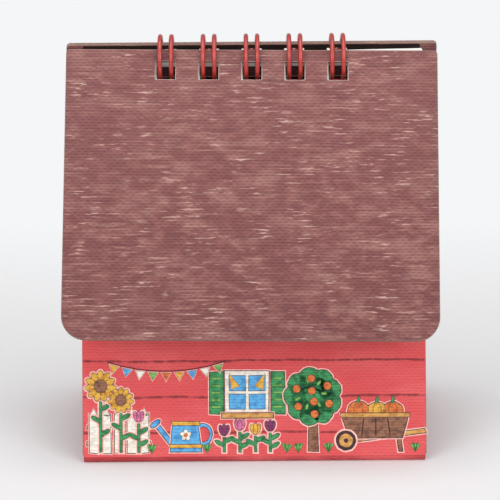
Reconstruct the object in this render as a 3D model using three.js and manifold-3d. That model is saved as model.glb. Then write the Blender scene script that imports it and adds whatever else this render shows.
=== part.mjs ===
// A small house-shaped desk calendar, in millimetres, +Z up, front towards -Y.
// A brown wrapped-board cover and seven leaves hang on a twin-loop wire comb. The wire also holds the
// top of a red easel and a brown rear panel, so cover and rear panel are the two sides of a roof. The
// easel's base is creased in the middle, and folds up between the two legs when the stand is closed.

import * as THREE from 'three';
import { mergeVertices } from 'three/addons/utils/BufferGeometryUtils.js';
import Module from 'manifold-3d';

const wasm = await Module();
wasm.setup();

// Wrapped board: a grey core, printed paper turned in round its edges, and a liner over the turn-ins.
const coreThickness = 0.8;
const wrapThickness = 0.12;
const linerThickness = 0.08;
const paperClearance = 0.02;
const edgeRounding = 0.2;
const turnIn = 8;
const linerInset = 2.5;

// Twin-loop wire, pitch 3:1, closed at the back of the rear panel.
const wireDiameter = 0.92;
const ringInnerRadius = 4;
const loopPitch = 8.467;
const loopCount = 5;
const twinSpacing = 2.22;
const bendRadius = 1.1;
const bridgeAngle = -8;
const tipAngle = -352;
const wireEndLength = 0.8;
const wireBendSteps = 4;
const wireTipSteps = 7;
const wireLoopSteps = 22;

// Punched holes.
const holeWidth = 3.95;

// Flat faces that stand for a round: a board's corner, its rounded edge, the wire and a fold.
const cornerSegments = 3;
const edgeSegments = 2;
const wireSectionSegments = 4;
const foldSegments = 7;

// Stand.
const standWidth = 68;
const frontLegLean = 16;
const rearLegLean = 18;
const ringHeight = 77;
const frontLegOffset = -0.45;
const frontLegTop = -1.2;
const legMargin = 2.4;
const legHoleHeight = 4;
const rearLegTop = -5.8;
const standCornerRadius = 0.8;
const hingeClearance = 0.1;
const legOverrun = 0.4;
const baseStart = 1.45;
const creaseHeight = 10.5;
const creaseGap = 5.8;
const creaseStripOverlap = 2.5;
const creaseStripThickness = 0.25;
const footStripThickness = 0.3;
const footStripInset = 1;
const footStripWrap = 35;
const footStripRunout = 38;
const footFlat = 16;

// Roof: the front cover and the rear panel.
const coverWidth = 73;
const coverLength = 57.7;
const coverLean = 26;
const coverOffset = 2.75;
const coverTop = 0.85;
const coverMargin = 2.4;
const coverHoleHeight = 3.7;
const coverSkew = -0.69;
const panelWidth = 73.5;
const panelLength = 57;
const panelOffset = 2.62;
const panelTop = 2.1;
const panelMargin = 1.4;
const panelHoleHeight = 5.4;
const roofCornerRadius = 4.7;
const glueGap = 0.03;

// Leaves.
const leafCount = 7;
const leafWidth = 67;
const leafLength = 54;
const leafThickness = 0.18;
const leafTopRadius = 0.4;
const leafCornerRadius = 1.5;
const leafMargin = 1.3;
const leafHoleHeight = 5.3;
const leafTop = -0.5;
const leafTopStep = -0.06;
const titleLeafTop = 0.8;
const titleLeafSkew = 1.2;

const radians = THREE.MathUtils.degToRad;
const wireRadius = wireDiameter / 2;
const ringRadius = ringInnerRadius + wireRadius;
const wrapDepth = coreThickness / 2 + paperClearance + wrapThickness;
const boardBack = wrapDepth + paperClearance + linerThickness;
const boardThickness = wrapDepth + boardBack;
const cutterDepth = 4 * boardThickness;
const holeCentres = [];
for (let i = 0; i < loopCount; i++) {
  holeCentres.push((i - (loopCount - 1) / 2) * loopPitch);
}

const paint = {
  brownPrint: { color: 0x93625e, roughness: 0.62, metalness: 0 },
  redPrint: { color: 0xdb5254, roughness: 0.58, metalness: 0 },
  greyboard: { color: 0x8d857b, roughness: 0.95, metalness: 0 },
  liner: { color: 0xe9e4da, roughness: 0.85, metalness: 0 },
  leafPaper: { color: 0xf6f4ef, roughness: 0.8, metalness: 0 },
  wire: { color: 0xbb352e, roughness: 0.35, metalness: 0 },
};

function toSolid(geometry) {
  const bare = geometry.clone();
  bare.deleteAttribute('normal');
  bare.deleteAttribute('uv');
  const merged = mergeVertices(bare, 1e-5);
  return new wasm.Manifold(new wasm.Mesh({
    numProp: 3,
    vertProperties: merged.attributes.position.array,
    triVerts: merged.index.array,
  }));
}

function toGeometry(solid) {
  const mesh = solid.getMesh();
  const geometry = new THREE.BufferGeometry();
  geometry.setAttribute('position', new THREE.BufferAttribute(new Float32Array(mesh.vertProperties), 3));
  geometry.setIndex(new THREE.BufferAttribute(new Uint32Array(mesh.triVerts), 1));
  geometry.computeVertexNormals();
  return geometry;
}

function makeMesh(name, geometry, finish) {
  const mesh = new THREE.Mesh(geometry, new THREE.MeshStandardMaterial(paint[finish]));
  mesh.name = name;
  return mesh;
}

// A panel outline that hangs from its top edge at y = 0, with its own radius at the top and the bottom.
function panelShape(width, length, topRadius, bottomRadius) {
  const half = width / 2;
  const shape = new THREE.Shape();
  shape.moveTo(-half + bottomRadius, -length);
  shape.lineTo(half - bottomRadius, -length);
  shape.absarc(half - bottomRadius, -length + bottomRadius, bottomRadius, -Math.PI / 2, 0);
  shape.lineTo(half, -topRadius);
  shape.absarc(half - topRadius, -topRadius, topRadius, 0, Math.PI / 2);
  shape.lineTo(-half + topRadius, 0);
  shape.absarc(-half + topRadius, -topRadius, topRadius, Math.PI / 2, Math.PI);
  shape.lineTo(-half, -length + bottomRadius);
  shape.absarc(-half + bottomRadius, -length + bottomRadius, bottomRadius, Math.PI, 1.5 * Math.PI);
  return shape;
}

// The same outline drawn in by an inset on all sides, as a plate from z = low to z = high.
function plate(board, inset, low, high, bevel = 0) {
  const shape = panelShape(
    board.width - 2 * inset - 2 * bevel,
    board.length - 2 * inset - 2 * bevel,
    Math.max(board.topRadius - inset - bevel, 0.05),
    Math.max(board.bottomRadius - inset - bevel, 0.05),
  );
  const geometry = new THREE.ExtrudeGeometry(shape, {
    depth: high - low - 2 * bevel,
    curveSegments: cornerSegments,
    bevelEnabled: bevel > 0,
    bevelThickness: bevel,
    bevelSize: bevel,
    bevelSegments: edgeSegments,
  });
  geometry.translate(0, -inset - bevel, low + bevel);
  return toSolid(geometry);
}

function punch(solid, margin, holeHeight) {
  let punched = solid;
  for (const x of holeCentres) {
    const cutter = new THREE.BoxGeometry(holeWidth, holeHeight, cutterDepth);
    cutter.translate(x, -margin - holeHeight / 2, 0);
    punched = punched.subtract(toSolid(cutter));
  }
  return punched;
}

// A wrapped board as three pieces: core, printed wrap and liner. +z is the printed side.
function wrappedBoard(name, board, finish) {
  const skin = wrapThickness + paperClearance;
  let core = plate(board, skin, -coreThickness / 2, coreThickness / 2);
  let wrap = plate(board, 0, -wrapDepth, wrapDepth, edgeRounding);
  const cavity = coreThickness / 2 + paperClearance;
  wrap = wrap.subtract(plate(board, wrapThickness, -cavity, cavity));
  wrap = wrap.subtract(plate(board, turnIn, -boardThickness, 0));
  let liner = plate(board, linerInset, -boardBack, -boardBack + linerThickness);
  if (board.margin) {
    core = punch(core, board.margin, board.holeHeight);
    wrap = punch(wrap, board.margin, board.holeHeight);
    liner = punch(liner, board.margin, board.holeHeight);
  }
  return [
    makeMesh(`${name}_core`, toGeometry(core), 'greyboard'),
    makeMesh(`${name}_wrap`, toGeometry(wrap), finish),
    makeMesh(`${name}_liner`, toGeometry(liner), 'liner'),
  ];
}

// A plane through a hinge line, leaning from the vertical. In it, y runs up the slope and z points out,
// to the front of the calendar, or to its back when facesBack is set.
function slope(lean, facesBack = false) {
  const turned = new THREE.Group();
  const tilted = new THREE.Group();
  tilted.rotation.x = Math.PI / 2 - radians(lean);
  turned.rotation.z = facesBack ? Math.PI : 0;
  turned.add(tilted);
  return { turned, tilted };
}

function hang(parent, meshes, place) {
  const flap = slope(place.lean, place.facesBack);
  flap.turned.position.set(0, place.y, place.z);
  const skewed = new THREE.Group();
  skewed.rotation.z = radians(place.skew ?? 0);
  flap.tilted.add(skewed);
  for (const mesh of meshes) {
    mesh.position.set(0, place.top, place.offset);
    skewed.add(mesh);
  }
  parent.add(flap.turned);
}

// Places in the (y, z) section: a point at a distance along the slope and out of its plane.
function sectionPoint(lean, along, out, side = -1) {
  const a = radians(lean);
  return {
    y: side * (out * Math.cos(a) - along * Math.sin(a)),
    z: ringHeight + out * Math.sin(a) + along * Math.cos(a),
  };
}

const hingeOffset = boardThickness / 2 + hingeClearance;
const footRadius = hingeOffset + boardThickness / 2;
const footHeight = footRadius * Math.cos(radians(footFlat));
const middle = (wrapDepth - boardBack) / 2;

function footSlopeLength(lean, offset) {
  const hingeOut = offset + middle - hingeOffset;
  const a = radians(lean);
  return (ringHeight + hingeOut * Math.sin(a) - footHeight) / Math.cos(a);
}

// The rear leg is glued to the inside of the rear panel.
const rearLegOffset = panelOffset - boardBack - glueGap - wrapDepth;
const frontLegSlope = footSlopeLength(frontLegLean, frontLegOffset);
const rearLegSlope = footSlopeLength(rearLegLean, rearLegOffset);
const frontFoot = sectionPoint(frontLegLean, -frontLegSlope, frontLegOffset + middle - hingeOffset);
const rearFoot = sectionPoint(rearLegLean, -rearLegSlope, rearLegOffset + middle - hingeOffset, 1);

// The crease is a fold line on the underside of the base. It lies where both halves fold up to the same
// height between the closed legs. Each half's underside is tangent to the round of its own foot.
const footSpan = rearFoot.y - frontFoot.y;
const legDifference = rearLegSlope - frontLegSlope;
const creaseRise = creaseHeight - footHeight;
const crease = {
  y: frontFoot.y + footSpan / 2 - (legDifference / 2) *
    Math.sqrt(1 + (4 * creaseRise ** 2) / (footSpan ** 2 - legDifference ** 2)),
  z: creaseHeight,
};
const frontHalf = baseHalf(crease.y - frontFoot.y);
const rearHalf = baseHalf(rearFoot.y - crease.y);

function baseHalf(run) {
  const reach = Math.hypot(run, creaseRise);
  return {
    length: Math.sqrt(reach ** 2 - footRadius ** 2),
    raise: THREE.MathUtils.radToDeg(Math.asin(creaseRise / reach) + Math.asin(footRadius / reach)),
  };
}

function makeWire() {
  const bridge = ringRadius * radians(bridgeAngle);
  const tip = ringRadius * radians(tipAngle);
  const half = twinSpacing / 2;
  const flat = [];
  const addLine = (from, to, steps) => {
    for (let i = 0; i < steps; i++) {
      flat.push([
        from[0] + ((to[0] - from[0]) * i) / steps,
        from[1] + ((to[1] - from[1]) * i) / steps,
      ]);
    }
  };
  const addArc = (centre, radius, start, end, steps) => {
    for (let i = 0; i < steps; i++) {
      const angle = start + ((end - start) * i) / steps;
      flat.push([centre[0] + radius * Math.cos(angle), centre[1] + radius * Math.sin(angle)]);
    }
  };
  const quarter = Math.PI / 2;
  const firstX = holeCentres[0] - half - bendRadius - wireEndLength;
  addLine([firstX, bridge], [firstX + wireEndLength, bridge], 1);
  for (const x of holeCentres) {
    const left = x - half;
    const right = x + half;
    addArc([left - bendRadius, bridge - bendRadius], bendRadius, quarter, 0, wireBendSteps);
    addLine([left, bridge - bendRadius], [left, tip + half], wireLoopSteps);
    addArc([x, tip + half], half, 2 * quarter, 4 * quarter, wireTipSteps);
    addLine([right, tip + half], [right, bridge - bendRadius], wireLoopSteps);
    addArc([right + bendRadius, bridge - bendRadius], bendRadius, 2 * quarter, quarter, wireBendSteps);
    if (x < holeCentres[loopCount - 1]) {
      addLine([right + bendRadius, bridge], [left + loopPitch - bendRadius, bridge], 1);
    }
  }
  const lastX = holeCentres[loopCount - 1] + half + bendRadius;
  flat.push([lastX, bridge], [lastX + wireEndLength, bridge]);
  const points = flat.map(([x, around]) => new THREE.Vector3(
    x,
    ringRadius * Math.cos(around / ringRadius),
    ringRadius * Math.sin(around / ringRadius),
  ));
  const path = new THREE.CatmullRomCurve3(points);
  path.getUtoTmapping = (u) => u;
  const section = new THREE.Shape();
  section.absarc(0, 0, wireRadius, 0, 2 * Math.PI);
  const geometry = new THREE.ExtrudeGeometry(section, {
    steps: points.length - 1,
    curveSegments: wireSectionSegments,
    extrudePath: path,
  });
  return makeMesh('wire_binding', geometry, 'wire');
}

function makeLeaf(index, offset, lean) {
  const isTitle = index === 0;
  const board = {
    width: leafWidth,
    length: leafLength,
    topRadius: leafTopRadius,
    bottomRadius: leafCornerRadius,
  };
  const sheet = punch(plate(board, 0, 0, leafThickness), leafMargin, leafHoleHeight);
  const leaf = makeMesh(`leaf_${index + 1}`, toGeometry(sheet), 'leafPaper');
  const top = isTitle ? titleLeafTop : leafTop + leafTopStep * index;
  hang(calendar, [leaf], { y: 0, z: ringHeight, lean, offset, top });
  if (isTitle) {
    leaf.rotation.z = radians(titleLeafSkew);
  }
}

// A rounded fold of paper that runs under a foot, from the leg's outer face to the base, pressed flat
// where it stands.
function makeFootStrip(name, legLean, raise) {
  const outerNormal = Math.PI - radians(legLean);
  const baseNormal = 1.5 * Math.PI + radians(raise);
  const start = outerNormal + radians(footStripWrap);
  const end = baseNormal + radians(footStripRunout);
  const down = 1.5 * Math.PI;
  const shape = new THREE.Shape();
  shape.absarc(0, 0, footRadius, start, down - radians(footFlat));
  shape.absarc(0, 0, footRadius, down + radians(footFlat), end);
  shape.absarc(0, 0, footRadius - footStripThickness, end, start, true);
  return makeMesh(name, acrossStand(shape), 'redPrint');
}

function makeBaseHalf(name, foot, half, facesBack) {
  const board = {
    width: standWidth,
    length: half.length - creaseGap / 2 - baseStart,
    topRadius: standCornerRadius,
    bottomRadius: standCornerRadius,
  };
  hang(calendar, wrappedBoard(name, board, 'redPrint'), {
    y: foot.y,
    z: foot.z,
    lean: half.raise - 90,
    facesBack,
    offset: hingeOffset - middle,
    top: half.length - creaseGap / 2,
  });
}

// The paper hinge at the crease: a shallow ridge that laps the underside of both halves.
function makeCreaseStrip() {
  const reach = creaseGap / 2 + creaseStripOverlap;
  const lower = paperClearance + creaseStripThickness;
  const meanRaise = radians((frontHalf.raise + rearHalf.raise) / 2);
  const lap = (half, side, depth) => {
    const a = radians(half.raise);
    return [
      crease.y + side * (reach * Math.cos(a) - depth * Math.sin(a)),
      crease.z - reach * Math.sin(a) - depth * Math.cos(a),
    ];
  };
  const shape = new THREE.Shape();
  shape.moveTo(...lap(frontHalf, -1, paperClearance));
  shape.lineTo(...lap(frontHalf, -1, lower));
  shape.lineTo(crease.y, crease.z - lower / Math.cos(meanRaise));
  shape.lineTo(...lap(rearHalf, 1, lower));
  shape.lineTo(...lap(rearHalf, 1, paperClearance));
  shape.lineTo(crease.y, crease.z - paperClearance / Math.cos(meanRaise));
  return makeMesh('crease_strip', acrossStand(shape), 'redPrint');
}

// A section drawn in (y, z) and drawn out along x, a little narrower than the stand.
function acrossStand(shape) {
  const length = standWidth - 2 * footStripInset;
  const geometry = new THREE.ExtrudeGeometry(shape, {
    depth: length,
    bevelEnabled: false,
    curveSegments: foldSegments,
  });
  geometry.translate(0, 0, -length / 2);
  geometry.rotateX(Math.PI / 2);
  geometry.rotateZ(Math.PI / 2);
  return geometry;
}

const calendar = new THREE.Group();

const wire = makeWire();
wire.position.set(0, 0, ringHeight);
calendar.add(wire);

hang(calendar, wrappedBoard('front_cover', {
  width: coverWidth,
  length: coverLength,
  topRadius: standCornerRadius,
  bottomRadius: roofCornerRadius,
  margin: coverMargin,
  holeHeight: coverHoleHeight,
}, 'brownPrint'), {
  y: 0, z: ringHeight, lean: coverLean, offset: coverOffset, top: coverTop, skew: coverSkew,
});

// The leaves share the space between the cover's back and the front leg, and fan from lean to lean.
const leafSpace = (coverOffset - boardBack) - (frontLegOffset + wrapDepth);
const leafGap = (leafSpace - leafCount * leafThickness) / (leafCount + 1);
for (let i = 0; i < leafCount; i++) {
  const offset = coverOffset - boardBack - (i + 1) * (leafGap + leafThickness);
  const lean = coverLean + ((frontLegLean - coverLean) * (i + 1)) / (leafCount + 1);
  makeLeaf(i, offset, lean);
}

hang(calendar, wrappedBoard('front_leg', {
  width: standWidth,
  length: frontLegSlope + legOverrun + frontLegTop,
  topRadius: standCornerRadius,
  bottomRadius: standCornerRadius,
  margin: legMargin,
  holeHeight: legHoleHeight,
}, 'redPrint'), {
  y: 0, z: ringHeight, lean: frontLegLean, offset: frontLegOffset, top: frontLegTop,
});

hang(calendar, wrappedBoard('rear_leg', {
  width: standWidth,
  length: rearLegSlope + legOverrun + rearLegTop,
  topRadius: standCornerRadius,
  bottomRadius: standCornerRadius,
}, 'redPrint'), {
  y: 0, z: ringHeight, lean: rearLegLean, facesBack: true, offset: rearLegOffset, top: rearLegTop,
});

hang(calendar, wrappedBoard('rear_panel', {
  width: panelWidth,
  length: panelLength,
  topRadius: standCornerRadius,
  bottomRadius: roofCornerRadius,
  margin: panelMargin,
  holeHeight: panelHoleHeight,
}, 'brownPrint'), {
  y: 0, z: ringHeight, lean: rearLegLean, facesBack: true, offset: panelOffset, top: panelTop,
});

makeBaseHalf('base_front', frontFoot, frontHalf, true);
makeBaseHalf('base_rear', rearFoot, rearHalf, false);

const frontStrip = makeFootStrip('front_foot_strip', frontLegLean, frontHalf.raise);
frontStrip.position.set(0, frontFoot.y, frontFoot.z);
calendar.add(frontStrip);
const rearStrip = makeFootStrip('rear_foot_strip', rearLegLean, rearHalf.raise);
rearStrip.position.set(0, rearFoot.y, rearFoot.z);
rearStrip.rotation.z = Math.PI;
calendar.add(rearStrip);
calendar.add(makeCreaseStrip());

// The origin is on the table, under the middle of the whole object.
const extent = new THREE.Box3().setFromObject(calendar);
calendar.position.set(
  -(extent.min.x + extent.max.x) / 2,
  -(extent.min.y + extent.max.y) / 2,
  -extent.min.z,
);

export default calendar;
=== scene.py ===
"""A small house-shaped desk calendar.

Two brown printed boards make the roof, a red printed easel makes the house, and a red twin-loop wire
holds them together with seven leaves. Sizes are in millimetres and become metres where a mesh is made.
"""
import math
import random

import bmesh
import bpy
from mathutils import Matrix, Vector

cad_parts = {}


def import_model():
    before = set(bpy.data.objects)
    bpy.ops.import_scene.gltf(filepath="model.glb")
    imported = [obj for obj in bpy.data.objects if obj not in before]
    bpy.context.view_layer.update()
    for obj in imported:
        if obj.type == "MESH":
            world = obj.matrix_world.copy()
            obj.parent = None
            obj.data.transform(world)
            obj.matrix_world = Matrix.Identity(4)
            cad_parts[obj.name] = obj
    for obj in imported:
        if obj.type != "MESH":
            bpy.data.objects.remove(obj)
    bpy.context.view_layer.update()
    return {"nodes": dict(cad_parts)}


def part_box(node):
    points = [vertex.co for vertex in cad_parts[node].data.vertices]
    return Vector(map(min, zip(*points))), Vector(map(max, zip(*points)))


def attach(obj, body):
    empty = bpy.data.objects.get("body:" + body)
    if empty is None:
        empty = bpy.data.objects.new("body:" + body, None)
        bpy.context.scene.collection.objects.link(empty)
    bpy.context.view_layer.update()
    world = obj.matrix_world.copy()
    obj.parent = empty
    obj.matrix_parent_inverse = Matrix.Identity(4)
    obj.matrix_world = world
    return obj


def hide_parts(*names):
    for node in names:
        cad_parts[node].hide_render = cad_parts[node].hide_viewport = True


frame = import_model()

random.seed(27)
MM = 0.001

# Camera, fitted to the photograph's 500 by 500 frame. Its distance, aim and clips are in millimetres.
CAMERA_DISTANCE = 450
CAMERA_ELEVATION = 15.8
CAMERA_ROLL = -0.435
AIM = Vector((-0.4, 0, 37.75))
FOCAL_PIXELS = 2222
FRAME_PIXELS = 500
SENSOR_WIDTH = 36
CLIP_START = 10
CLIP_END = 20000

# Leans from upright, and the rise of the base's two halves from level, in degrees.
COVER_LEAN = 26
FRONT_LEAN = 16
REAR_LEAN = 18
FRONT_RAISE = 25.77
REAR_RAISE = 24.28

# Punched holes, and the row that they lie in: how far it stays inside a board's sides and where it starts
# and ends below the top edge.
HOLE_WIDTH = 3.95
HOLE_PITCH = 8.467
HOLE_COUNT = 5
HOLE_CENTRES = [(i - (HOLE_COUNT - 1) / 2) * HOLE_PITCH for i in range(HOLE_COUNT)]
HOLE_ROW_SIDE = 6
HOLE_ROW_START = 1
HOLE_ROW_END = 9

# Boards: the wrap's thickness, half of a wrapped board's, the rounding of its edges, the pale cut round a
# hole, how deep the bare top edge of the front leg is, and how far the lining, painted dark as shade, stops
# below the top edge.
WRAP = 0.12
HALF_BOARD = 0.54
EDGE_ROUNDING = 0.24
EDGE_STEPS = 4
CORNER_STEPS = 10
PUNCH_BURR = 0.08
BARE_RIM = 0.5
LINING_INSET = 0.25
# A face is on the sheet's side, and not on its edge, where its normal is this near to square.
SHEET_SIDE = 0.9
# An edge is sharp where its two faces turn by more than this, in radians.
SHARP_TURN = 1
# Points nearer than this are one, on a fold or the wire and in the print.
WELD = 0.001
PRINT_WELD = 0.0005
# A board's finishes, in the order of its material slots.
PRINT, EDGE, BARE, CUT, LINING = range(5)

# Each board has the body it rides, its lean, its size, its two corner radii, its row of holes as the margin
# above it and its height, and half the width of its lining, painted dark as shade. A board without a length
# takes it from the frame.
BOARDS = {
    "front_cover": dict(body="cover_flap", lean=COVER_LEAN, skew=-0.69, width=73, length=57.7, top=0.8,
                        bottom=4.7, margin=2.4, hole=3.7, slot="brown_print_paper"),
    "rear_panel": dict(body="rear_flap", lean=REAR_LEAN, back=True, width=73.5, length=57, top=0.8,
                       bottom=4.7, margin=1.05, hole=5.75, lining=33.4, slot="brown_print_paper"),
    "front_leg": dict(body="stand", lean=FRONT_LEAN, width=68, top=0.8, bottom=0.8, margin=2.4, hole=4,
                      slot="red_print_paper"),
    "rear_leg": dict(body="rear_flap", lean=REAR_LEAN, back=True, width=68, top=0.8, bottom=0.8,
                     slot="red_print_paper"),
    "base_front": dict(body="base_front_half", lean=FRONT_RAISE - 90, back=True, width=68, top=0.8,
                       bottom=0.8, slot="red_print_paper"),
    "base_rear": dict(body="base_rear_half", lean=REAR_RAISE - 90, width=68, top=0.8, bottom=0.8,
                      slot="red_print_paper"),
}

# The paper fold under each foot: its outer radius, its paper, how far it stays inside the stand's sides, and
# angles in degrees: how far below the leg's face it starts, how far it runs on under the base, half of what
# is pressed flat, and where, less the lean, it reaches as far out as the strip in the frame.
FOOT_RADIUS = 1.28
FOOT_PAPER = 0.3
FOOT_INSET = 0.2
FOOT_START = 12
FOOT_RUNOUT = 38
FOOT_FLAT = 16
FOOT_REACH = 35
FOOT_STEPS = 14

# The paper crease in the middle of the base: the place of its fold, which is 1.4 mm above the fold of the
# frame's strip, how far each side reaches down from there, how far below the fold's own lines its paper
# starts, its paper, and half the gap between its sides.
CREASE_Y = 2.343
CREASE_Z = 11.914
CREASE_REACH = 5.4
CREASE_CLEAR = 0.02
CREASE_PAPER = 0.25
CREASE_SPLIT = 0.02

# The wire: rings round the middle of the frame's wire, the twin loops' spacing, the bends at their feet, and
# the angles on the ring, in degrees, of the straight bridges between the loops and of the loops' tips.
WIRE_RADIUS = 0.46
WIRE_ROUNDING = 3
RING_HEIGHT = 77
RING_RADIUS = 4.46
TWIN_SPACING = 2.22
BRIDGE_BEND = 1.1
BRIDGE_ANGLE = -8
TIP_ANGLE = -352
WIRE_END = 0.8
BEND_STEPS = 7
TIP_STEPS = 12
RUN_STEPS = 44

# Leaves, fanned evenly between the cover and the front leg. The title leaf hangs askew by TITLE_SKEW degrees.
LEAF_COUNT = 7
LEAF_WIDTH = 67
LEAF_LENGTH = 54
LEAF_TOP_RADIUS = 0.4
LEAF_CORNER_RADIUS = 1.5
LEAF_MARGIN = 0.75
LEAF_HOLE = 5.85
LEAF_THICKNESS = 0.18
TITLE_SKEW = 0.85


def middle(node):
    """The middle of a frame node's box in millimetres."""
    low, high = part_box(node)
    return (low + high) / 2 / MM


RING_CENTRE = middle("wire_binding")
RING_CENTRE.z = RING_HEIGHT


# Materials.

def colour(code):
    """An sRGB hex colour as linear red, green, blue and alpha."""
    parts = [int(code[i:i + 2], 16) / 255 for i in (0, 2, 4)]
    return [c / 12.92 if c <= 0.04045 else ((c + 0.055) / 1.055) ** 2.4 for c in parts] + [1]


def add(tree, kind, *values, out=0, **named):
    """Adds a shader node, fills its inputs and gives one of its outputs.

    Values fill the inputs in order. A name in capitals is an input, and any other name a setting.
    A value is a number, a vector, an sRGB hex colour or another node's output.
    """
    made = tree.nodes.new("ShaderNode" + kind)
    for name in [n for n in named if n.islower()]:
        setattr(made, name, named.pop(name))
    filled = list(zip([s for s in made.inputs if s.enabled], values))
    filled += [(made.inputs[name.replace("_", " ")], value) for name, value in named.items()]
    for socket, value in filled:
        if isinstance(value, bpy.types.NodeSocket):
            tree.links.new(value, socket)
        elif value is not None:
            socket.default_value = colour(value) if isinstance(value, str) else value
    if isinstance(out, str):
        return made.outputs[out]
    outputs = [s for s in made.outputs if s.enabled]
    return outputs[out] if outputs else None


def new_material(name):
    """An empty material, with its node tree."""
    material = bpy.data.materials.new(name)
    material.use_nodes = True
    material.node_tree.nodes.clear()
    return material, material.node_tree


def on_sheet(tree, source="UV"):
    """The place on the sheet in millimetres, from the piece's UV map or from its own coordinates."""
    spot = add(tree, "TexCoord", out=source)
    return add(tree, "Mapping", spot, None, None, (1 / MM,) * 3)


# Linen emboss, as it measures in the photograph: rows of pits 0.58 mm apart up the sheet, with a pit every
# 1.26 mm, staggered row by row.
THREAD = 0.578
CELL = 1.26


def linen(tree, place):
    """How far the emboss is pressed in, from 0 on a thread to 1 in a pit."""
    across = add(tree, "SeparateXYZ", place)
    drift = add(tree, "Math", add(tree, "TexNoise", place, 0.12, 2), 0.7, operation="MULTIPLY")
    row = add(tree, "Math", across.node.outputs["Y"], 1 / THREAD, drift, operation="MULTIPLY_ADD")
    near_row = add(tree, "Math", row, 0.5, operation="PINGPONG")
    thin = add(tree, "MapRange", near_row, 0.06, 0.29, 1.0, 0.0, interpolation_type="SMOOTHSTEP")
    column = add(tree, "Math", across, 1 / CELL, operation="MULTIPLY")
    stagger = add(tree, "Math", add(tree, "Math", row, operation="ROUND"), 0.5, column,
                  operation="MULTIPLY_ADD")
    near_pit = add(tree, "Math", stagger, 0.5, operation="PINGPONG")
    short = add(tree, "MapRange", near_pit, 0.12, 0.32, 1.0, 0.42, interpolation_type="SMOOTHSTEP")
    return add(tree, "Math", thin, short, operation="MULTIPLY")


def brushed(tree, place, tone, strokes):
    """Lays strokes over a tone. Each has its grain along and up the sheet in features per mm, the noise
    where it starts and where it is full, its strength, its colour and, last, the size of its patches."""
    for along, up, start, full, strength, stroke, patches in strokes:
        stretched = add(tree, "Mapping", place, None, None, (along, up, 1))
        grain = add(tree, "TexNoise", stretched, 1.0, 4.0, 0.6)
        cover = add(tree, "MapRange", grain, start, full, 0.0, strength, interpolation_type="SMOOTHSTEP")
        if patches:
            gather = add(tree, "MapRange", add(tree, "TexNoise", place, patches, 2.0), 0.44, 0.58)
            cover = add(tree, "Math", cover, gather, operation="MULTIPLY")
        tone = add(tree, "Mix", cover, tone, stroke, data_type="RGBA")
    return tone


def embossed_print(tree, tone, pits, dark, strength, relief=0.4):
    """The shader of a linen-embossed print under matt varnish, with painted shade that darkens the pits."""
    shade = add(tree, "Math", pits, strength, operation="MULTIPLY")
    tone = add(tree, "Mix", shade, tone, dark, data_type="RGBA")
    rough = add(tree, "MapRange", pits, 0.0, 1.0, 0.5, 0.68)
    normal = add(tree, "Bump", invert=True, Strength=relief, Distance=0.05 * MM, Height=pits)
    shader = add(tree, "BsdfPrincipled", Base_Color=tone, Roughness=rough, Normal=normal,
                 Specular_IOR_Level=0.3)
    add(tree, "OutputMaterial", shader)


# Brown offset print on linen-embossed wrapping paper: brushed tones with long dark streaks and short pale
# strokes in patches. Painted light makes it a little paler towards the ridge and darker towards the eaves.
BROWN_STROKES = (
    (0.30, 0.50, 0.44, 0.66, 0.65, "97635C", 0),
    (0.11, 0.24, 0.47, 0.66, 0.60, "A0736B", 0),
    (0.04, 0.07, 0.42, 0.66, 0.50, "744443", 0),
    (0.09, 1.30, 0.52, 0.66, 0.60, "693A3A", 0),
    (0.13, 1.50, 0.53, 0.66, 0.65, "A97B72", 0.10),
    (0.22, 2.10, 0.56, 0.65, 0.95, "C39D92", 0.13),
)
# Painted light: the brown as shaded at the eaves and as lit at the ridge.
EAVES_SHADE_BROWN = "6E3E3D"
RIDGE_LIT_BROWN = "7D4B4A"
# The heights on the sheet between which the painted light turns the brown paler.
RIDGE_LIGHT_FADE = (4, 54)
# Painted shade in the brown's linen pits.
BROWN_PIT_SHADE = "442627"
RUBBED_PAPER = "A99484"


def brown_paper(name, worn=0.0):
    """The roof's print. Where it is worn, the grey-brown of the paper shows through the ink."""
    material, tree = new_material(name)
    place = on_sheet(tree)
    up = add(tree, "SeparateXYZ", place, out="Y")
    # Painted light: paler towards the ridge, darker towards the eaves.
    tone = add(tree, "Mix", add(tree, "MapRange", up, *RIDGE_LIGHT_FADE), EAVES_SHADE_BROWN, RIDGE_LIT_BROWN,
               data_type="RGBA")
    tone = brushed(tree, place, tone, BROWN_STROKES)
    if worn:
        tone = add(tree, "Mix", worn, tone, RUBBED_PAPER, data_type="RGBA")
    embossed_print(tree, tone, linen(tree, place), BROWN_PIT_SHADE, 0.5)
    return material


# The same paper printed in flat red, with a dark hand-drawn line between planks 7.1 mm wide.
RED_STROKES = (
    (0.06, 0.12, 0.40, 0.68, 0.70, "E56668", 0),
    (0.12, 0.90, 0.50, 0.75, 0.40, "CB4549", 0),
    (0.35, 2.20, 0.60, 0.72, 0.35, "F08A88", 0.2),
)
PLAIN_RED = "D95153"
# Painted shade on the fold under each foot.
FOOT_SHADE_RED = "A9373B"
# Painted shade in the red's linen pits.
RED_PIT_SHADE = "9C2A34"
# Planks as drawn on the sheet: their width, the height of the first line and how far, in planks, it wavers.
PLANK = 7.1
PLANK_FIRST = 5.2
PLANK_WAVER = 0.15
PLANK_INK = "6A2428"
# Painted shade: under the roof, where the cover hides and shades it, the red front runs out to a dark red
# from this height on.
ROOF_SHADE_FROM = 65
ROOF_SHADE = 7
ROOF_SHADE_RED = "23070A"


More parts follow.
